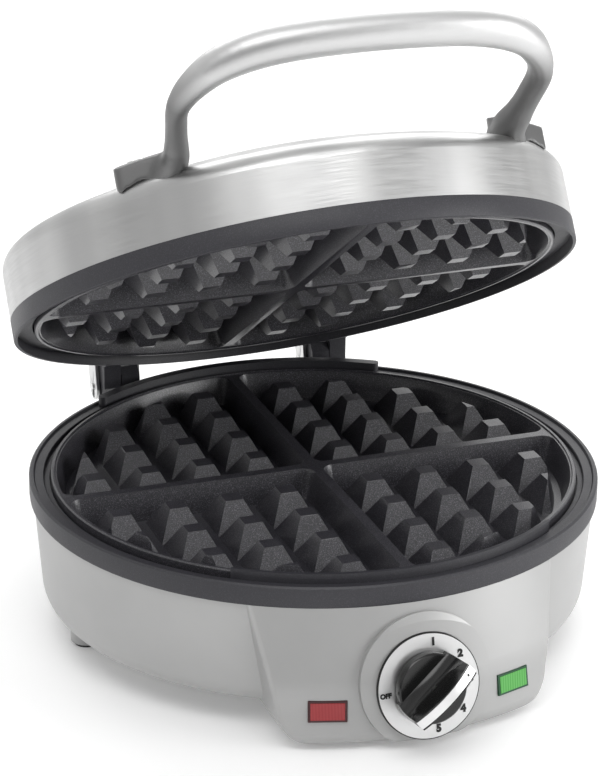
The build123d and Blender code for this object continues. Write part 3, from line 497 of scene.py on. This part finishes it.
def skin_height(x, y, offset):
    """Height of the lid's surface, moved outwards by offset, over a point of the closed lid."""
    radius = math.hypot(x, y)
    reach = SHOULDER_RADIUS + offset
    if radius > SHOULDER_RING + reach * SHOULDER_SINE:
        drop = reach ** 2 - (radius - SHOULDER_RING) ** 2
        return BAND_TOP + math.sqrt(max(drop, SKIRT_HEIGHT ** 2))
    return DOME_CENTRE + math.sqrt((DOME_RADIUS + offset) ** 2 - radius ** 2)


print("lid top at", round(skin_height(0.0, 0.0, 0.0), 1), "mm")

# %% [markdown]
# The arch is a list of sections from the middle of the bar down to the right foot: sideways
# place, height along the arch, fall and twist in degrees, thickness and depth. The left half
# mirrors them. A curve through the rows adds three sections in each gap, and circles bridged
# one to the next make the skin. Near the lid each section also moves back to form a heel.

# %% Bar and legs along the arch
ARCH_FOOT = Vector((0.0, -84.0, RIM_TOP + 36.0))
ARCH_SIDES = 24
ARCH_ROWS = (
    (0.0, 77.0, 0.0, 0.0, 16.2, 15.2), (30.0, 75.8, 5.0, 0.0, 16.2, 15.2),
    (50.0, 72.2, 18.0, 0.0, 16.0, 15.2), (64.5, 64.5, 42.0, 4.0, 13.8, 14.2),
    (72.6, 54.2, 66.0, 12.0, 11.4, 12.8), (75.8, 46.0, 84.0, 20.0, 9.8, 11.8),
    (76.3, 40.0, 91.0, 25.0, 9.0, 11.2), (75.3, 33.0, 98.0, 25.0, 8.8, 11.0),
    (74.2, 26.0, 99.0, 25.0, 9.0, 11.2), (73.2, 20.0, 98.0, 25.0, 9.8, 12.6),
    (73.0, 14.0, 97.0, 25.0, 11.2, 15.0), (75.0, 9.0, 95.0, 25.0, 14.0, 17.5),
    (76.4, 5.0, 92.0, 25.0, 17.0, 19.0))
HEEL_TOP, HEEL_SLOPE = 20.0, 0.4
HEEL_INWARD, HEEL_BACK = 0.42, 0.9


def smooth_rows(rows):
    """Four steps between neighbouring rows on a curve that passes through every row."""
    fine = []
    for before, start, end, after in zip(rows, rows[1:], rows[2:], rows[3:]):
        for t in (0.0, 0.25, 0.5, 0.75):
            fine.append([
                (2 * q + (r - p) * t + (2 * p - 5 * q + 4 * r - w) * t * t
                 + (3 * q - p - 3 * r + w) * t ** 3) / 2
                for p, q, r, w in zip(before, start, end, after)])
    return fine + [list(rows[-2])]


def ring_edges(mesh, segments, radius, matrix):
    """Adds a circle and gives its edges in the order in which they were made."""
    made = bmesh.ops.create_circle(mesh, segments=segments, radius=radius, matrix=matrix)
    return list(dict.fromkeys(edge for vert in made["verts"] for edge in vert.link_edges))


def add_arch(mesh):
    rings = []
    for x, height, fall, twist, thick, deep in sections:
        down, turned = math.radians(fall), math.radians(twist)
        along = Vector((math.cos(down), 0.0, 0.0)) - ARCH_UP * math.sin(down)
        flat = Vector((math.sin(down), 0.0, 0.0)) + ARCH_UP * math.cos(down)
        side = along.cross(flat)
        across = flat * math.cos(turned) - side * math.sin(turned)
        inward = side * math.cos(turned) + flat * math.sin(turned)
        heel = max(0.0, HEEL_TOP - height) * HEEL_SLOPE
        shift = Vector((x - math.copysign(heel, x) * HEEL_INWARD, heel * HEEL_BACK, 0.0))
        spot = Matrix.Translation(ARCH_FOOT + shift + ARCH_UP * height)
        turn = Matrix((across * thick, inward * deep, along)).transposed().to_4x4()
        rings.append(ring_edges(mesh, ARCH_SIDES, 0.5, spot @ turn))
    for upper, lower in zip(rings, rings[1:]):
        bmesh.ops.bridge_loops(mesh, edges=upper + lower)
    ends = [edge for edge in mesh.edges if len(edge.link_faces) == 1]
    bmesh.ops.holes_fill(mesh, edges=ends, sides=0)


left_rows = [(-x, height, -fall, *rest) for x, height, fall, *rest in ARCH_ROWS[:0:-1]]
arch_rows = left_rows + list(ARCH_ROWS)
sections = smooth_rows(arch_rows[:1] + arch_rows + arch_rows[-1:])
print("arch sections", len(sections))

# %% [markdown]
# A foot starts as its outline seen from above, drawn along and square to its front edge. The
# face is cut into strips, extruded upwards, and each point is lowered or raised onto the lid's
# curved surface, so the same helper also makes the rubber gasket under the foot. A layer holds
# how high its underside and its top stand above the lid, and how far its outline grows, in
# millimetres.

# %% Feet and gaskets that follow the lid
FOOT_CORNER = Vector((68.0, -90.0, 0.0))
FOOT_TURN = math.radians(25.0)
FOOT_OUTLINE = ((0.0, -3.2), (28.0, -1.2), (28.0, 17.5), (15.0, 17.5), (0.0, 5.0))
FOOT_MIDDLE = Vector((15.0, 8.0, 0.0))
FOOT_ROUND = 3.0
FOOT_LAYER = (0.4, 7.8, 0.3)
GASKET_LAYER = (0.05, 0.9, -0.8)


def add_foot(mesh, side, low, high, grow):
    turn = Matrix.Rotation(FOOT_TURN, 4, "Z")
    corners = []
    for u, v in FOOT_OUTLINE:
        away = (Vector((u, v, 0.0)) - FOOT_MIDDLE).normalized() * grow
        corners.append(mesh.verts.new(Vector((u, v, 0.0)) + away))
    mesh.faces.new(corners)
    bmesh.ops.bevel(mesh, geom=corners, offset=FOOT_ROUND, segments=4, profile=0.5,
                    affect="VERTICES", material=-1)
    top = bmesh.ops.extrude_face_region(mesh, geom=mesh.faces[:])
    raised = [v for v in top["geom"] if isinstance(v, bmesh.types.BMVert)]
    bmesh.ops.translate(mesh, verts=raised, vec=(0.0, 0.0, 1.0))
    for axis, cuts in ((Vector((1, 0, 0)), range(2, 28, 2)), (Vector((0, 1, 0)), range(2, 18, 2))):
        for cut in cuts:
            whole = mesh.verts[:] + mesh.edges[:] + mesh.faces[:]
            bmesh.ops.bisect_plane(mesh, geom=whole, plane_co=axis * cut, plane_no=axis)
    for vert in mesh.verts:
        lift = high if vert.co.z > 0.5 else low
        spot = turn @ Vector((vert.co.x, vert.co.y, 0.0)) + FOOT_CORNER
        vert.co = Vector((side * spot.x, spot.y, skin_height(spot.x, spot.y, lift)))


print("foot thickness", round(FOOT_LAYER[1] - FOOT_LAYER[0], 1), "mm")

# %% [markdown]
# Each shape is built apart and joined. A voxel remesh with a light smooth then melts the arch
# and its feet together, which gives the soft fillets of a real casting. The gaskets stay crisp.

# %% Cast the handle and lay its gaskets
VOXEL = 0.0008


def lid_piece(name, builders, material, replaced):
    """Builds each shape in its own bmesh, joins them, swings them open, hangs them on the lid."""
    whole = bmesh.new()
    for build in builders:
        part = bmesh.new()
        build(part)
        bmesh.ops.recalc_face_normals(part, faces=part.faces[:])
        scrap = bpy.data.meshes.new("scrap")
        part.to_mesh(scrap)
        part.free()
        whole.from_mesh(scrap)
        bpy.data.meshes.remove(scrap)
    whole.transform(lid_swing)
    joined = bpy.data.meshes.new(name)
    whole.to_mesh(joined)
    whole.free()
    piece = new_object(name, joined, material)
    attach(piece, "lid")
    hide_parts(replaced)
    return piece


shapes = [add_arch] + [lambda mesh, s=side: add_foot(mesh, s, *FOOT_LAYER) for side in (1, -1)]
casting = lid_piece("handle_casting", shapes, satin, "handle")
melt = casting.modifiers.new("melt_together", "REMESH")
melt.mode = "VOXEL"
melt.voxel_size = VOXEL
melt.use_smooth_shade = True
relax = casting.modifiers.new("soften_fillets", "SMOOTH")
relax.factor = 0.5
relax.iterations = 6
for side, word in ((1, "right"), (-1, "left")):
    layer = [lambda mesh, s=side: add_foot(mesh, s, *GASKET_LAYER)]
    lid_piece("foot_gasket_" + word, layer, pad_rubber, "handle_gasket_" + word)
print("handle casting", [round(v * 1000, 1) for v in casting.dimensions])

# %% [markdown]
# CAD edges are perfectly sharp, and real castings and mouldings never are: their small
# rounds catch the light. A Weld and a Bevel modifier on the CAD pieces add those rounds
# without touching the meshes themselves.

# %% Soft edges on castings and mouldings
CAST_ROUND, MOULDED_ROUND = 0.0006, 0.0004


def soften(name, width):
    piece = nodes[name]
    weld = piece.modifiers.new("join_corners", "WELD")
    weld.merge_threshold = 0.00001
    bevel = piece.modifiers.new("soft_edges", "BEVEL")
    bevel.width = width
    bevel.segments = 2
    bevel.limit_method = "ANGLE"
    bevel.angle_limit = math.radians(30.0)


for name in ("lower_plate", "upper_plate"):
    soften(name, CAST_ROUND)
for name in ("base_rim", "lid_rim", "lid_hinge_left", "lid_hinge_right", "knob"):
    soften(name, MOULDED_ROUND)
print("softened", sum(1 for o in nodes.values() if o.modifiers))

# %% [markdown]
# The dial carries OFF and the plain numbers 1 to 5, printed in black round the ring. Text
# objects are made a mesh first and then laid on the dial's tilted face. Each row of the scale
# holds the label, its angle clockwise from the top, its distance from the axis and its size.

# %% Printed dial scale
DIAL_TILT = math.radians(12.0)
dial_normal = Vector((0.0, -math.cos(DIAL_TILT), math.sin(DIAL_TILT)))
dial_up = Vector((0.0, math.sin(DIAL_TILT), math.cos(DIAL_TILT)))
dial_axes = Matrix((Vector((1, 0, 0)), dial_up, dial_normal)).transposed().to_4x4()
dial_plane = Matrix.Translation((0.0, -0.131266, 0.026)) @ dial_axes
DIAL_FACE = 0.0024
INK_DEPTH, BOLDNESS = 0.00003, 0.07
SCALE = (("OFF", -94.0, 0.0186, 0.0027), ("1", 9.0, 0.0182, 0.0042), ("2", 51.0, 0.0182, 0.0042),
         ("3", 88.0, 0.0182, 0.0042), ("4", 129.0, 0.0182, 0.0042), ("5", 170.0, 0.0182, 0.0042))
ink, tree, shader = new_material("dial_ink", 0.5, 0.0)
soot = place(tree, speckle, coordinates(tree), Scale=1200.0, Cut=0.5)
color_by(tree, shader, soot.outputs["Cloud"], (0.006, 0.006, 0.006), (0.012, 0.012, 0.012))


def dial_text(label, clockwise, radius, size):
    curve = bpy.data.curves.new("print_" + label, "FONT")
    curve.body = label
    curve.size = size
    curve.align_x = "CENTER"
    curve.align_y = "CENTER"
    curve.extrude = INK_DEPTH
    curve.offset = BOLDNESS * size
    text = bpy.data.objects.new("print_" + label, curve)
    bpy.context.scene.collection.objects.link(text)
    bpy.context.view_layer.update()
    drawn = text.evaluated_get(bpy.context.evaluated_depsgraph_get())
    printed = bpy.data.meshes.new_from_object(drawn)
    bpy.data.objects.remove(text)
    turn = math.radians(clockwise)
    spot = Vector((math.sin(turn) * radius, math.cos(turn) * radius, DIAL_FACE))
    printed.transform(dial_plane @ Matrix.Translation(spot))
    piece = new_object("dial_mark_" + label, printed, ink)
    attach(piece, "base")
    return piece


marks = [dial_text(*row) for row in SCALE]
print("marks", [m.name for m in marks])

# %% [markdown]
# A thin black ring of painted shade runs round the dial ring, in the gap where the ring drops into
# its seat in the bezel.
# Four circles are the corners of its section, and bridging them in turn makes a closed ring.

# %% Painted shade round the dial ring
GAP_SHADE_CORNERS = ((0.02145, 0.0010), (0.02195, 0.0010), (0.02195, 0.0020), (0.02145, 0.0020))
mesh = bmesh.new()
rings = [ring_edges(mesh, 96, radius, Matrix.Translation((0.0, 0.0, height)))
         for radius, height in GAP_SHADE_CORNERS]
for first, second in zip(rings, rings[1:] + rings[:1]):
    bmesh.ops.bridge_loops(mesh, edges=first + second)
bmesh.ops.recalc_face_normals(mesh, faces=mesh.faces[:])
mesh.transform(dial_plane)
gap_shade_mesh = bpy.data.meshes.new("dial_gap_shade")
mesh.to_mesh(gap_shade_mesh)
mesh.free()
# This black ring paints the shadow in the gap round the dial ring.
gap_shade = new_object("dial_gap_shade", gap_shade_mesh, ink)
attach(gap_shade, "base")
print("seam faces", len(gap_shade_mesh.polygons))

# %% [markdown]
# A black dot on the knob's bright strip shows which number is chosen. It is a thin disc laid on
# the crowned strip near its pointing end, so it starts flat and is tipped to the crown's slope.

# %% Pointer dot on the knob
KNOB_TOP = 0.0239
KNOB_TURN = math.radians(-50.0)
CROWN_RADIUS = 0.03517
DOT_ALONG = 0.0123
DOT_BASE, DOT_TOP, DOT_THICK = 0.00062, 0.00056, 0.0001
dot_slope = math.asin(DOT_ALONG / CROWN_RADIUS)
dot_height = KNOB_TOP - CROWN_RADIUS * (1.0 - math.cos(dot_slope))
mesh = bmesh.new()
bmesh.ops.create_cone(mesh, cap_ends=True, segments=32, radius1=DOT_BASE, radius2=DOT_TOP,
                      depth=DOT_THICK)
seat = Matrix.Translation((0.0, DOT_ALONG, dot_height)) @ Matrix.Rotation(-dot_slope, 4, "X")
mesh.transform(dial_plane @ Matrix.Rotation(KNOB_TURN, 4, "Z") @ seat)
dot_mesh = bpy.data.meshes.new("pointer_dot")
mesh.to_mesh(dot_mesh)
mesh.free()
dot = new_object("pointer_dot", dot_mesh, ink)
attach(dot, "knob")
print("dot stands", round(dot_height * 1000, 2), "mm above the dial plane")
